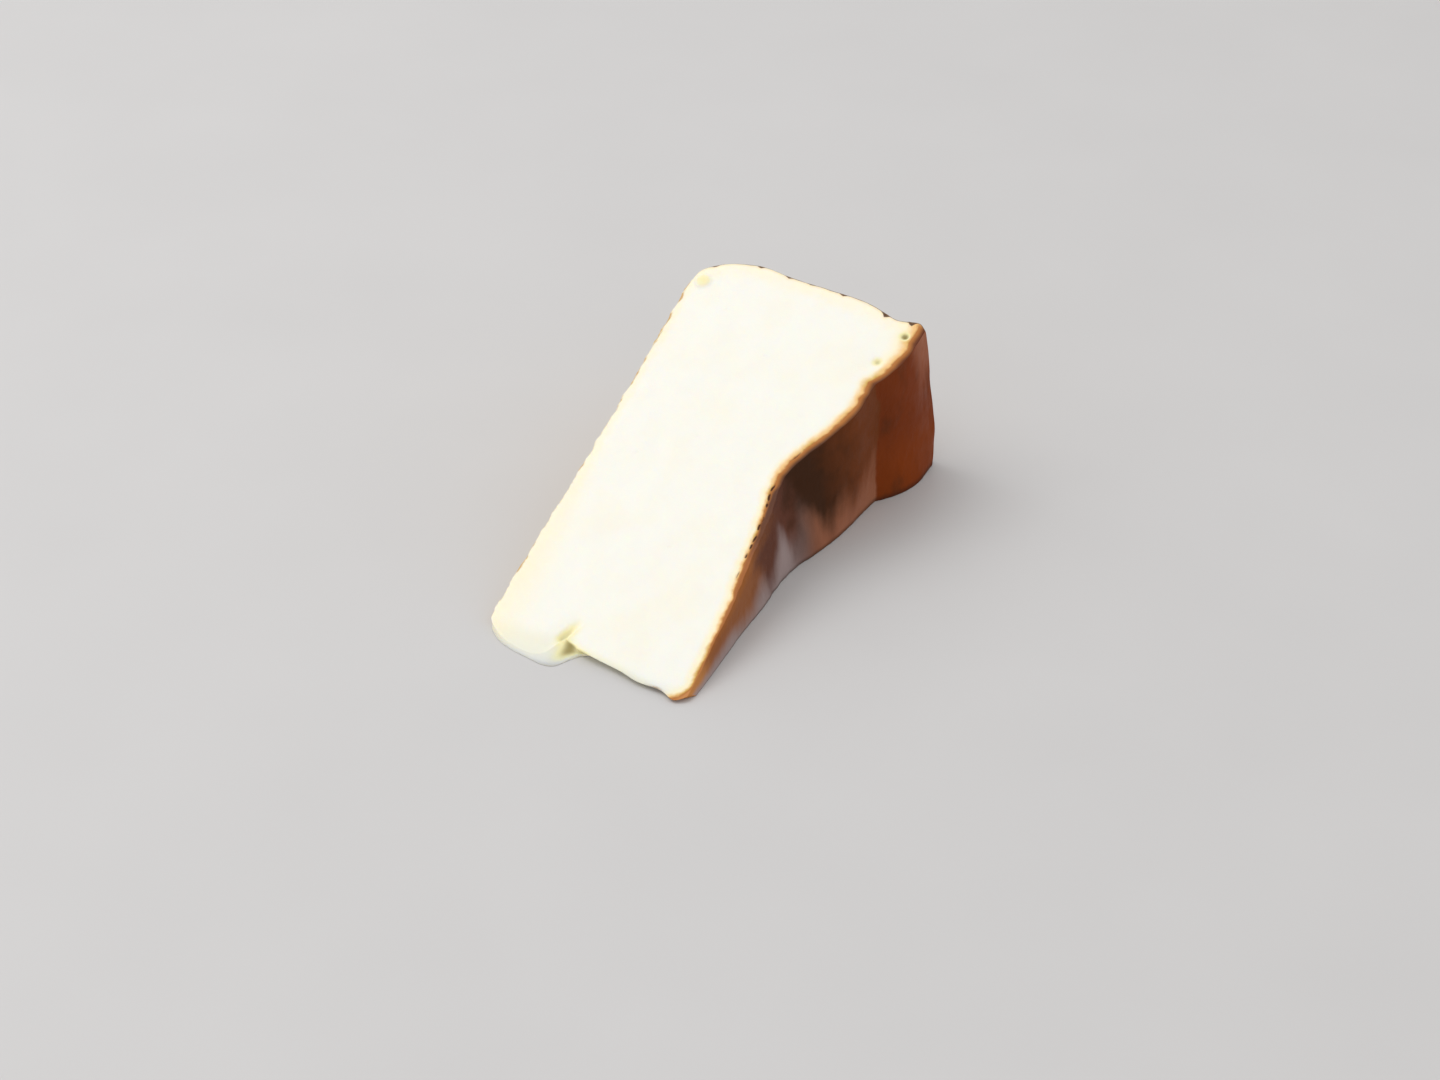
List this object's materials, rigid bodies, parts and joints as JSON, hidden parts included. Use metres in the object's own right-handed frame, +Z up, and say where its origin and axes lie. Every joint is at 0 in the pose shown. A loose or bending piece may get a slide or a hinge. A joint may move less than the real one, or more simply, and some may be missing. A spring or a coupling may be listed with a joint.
{
  "type": "basque burnt cheesecake slice",
  "caption": "Wedge of burnt Basque cheesecake lying on one cut face, with cream inside, a dark wavy top and a creased browned side.",
  "frame": {"origin": "centre of the bounding box at the table, under the slice", "axes": "+X up the cake from its base to its burnt top, +Y from the point of the wedge to the rim, +Z up from the table"},
  "size_m": [0.0656, 0.1262, 0.0478],
  "materials": {
    "cheesecake": "moist pale cream with a satin dark brown burnt crust"
  },
  "bodies": {
    "root": {"cheesecake_slice": "cheesecake"}
  },
  "joints": []
}
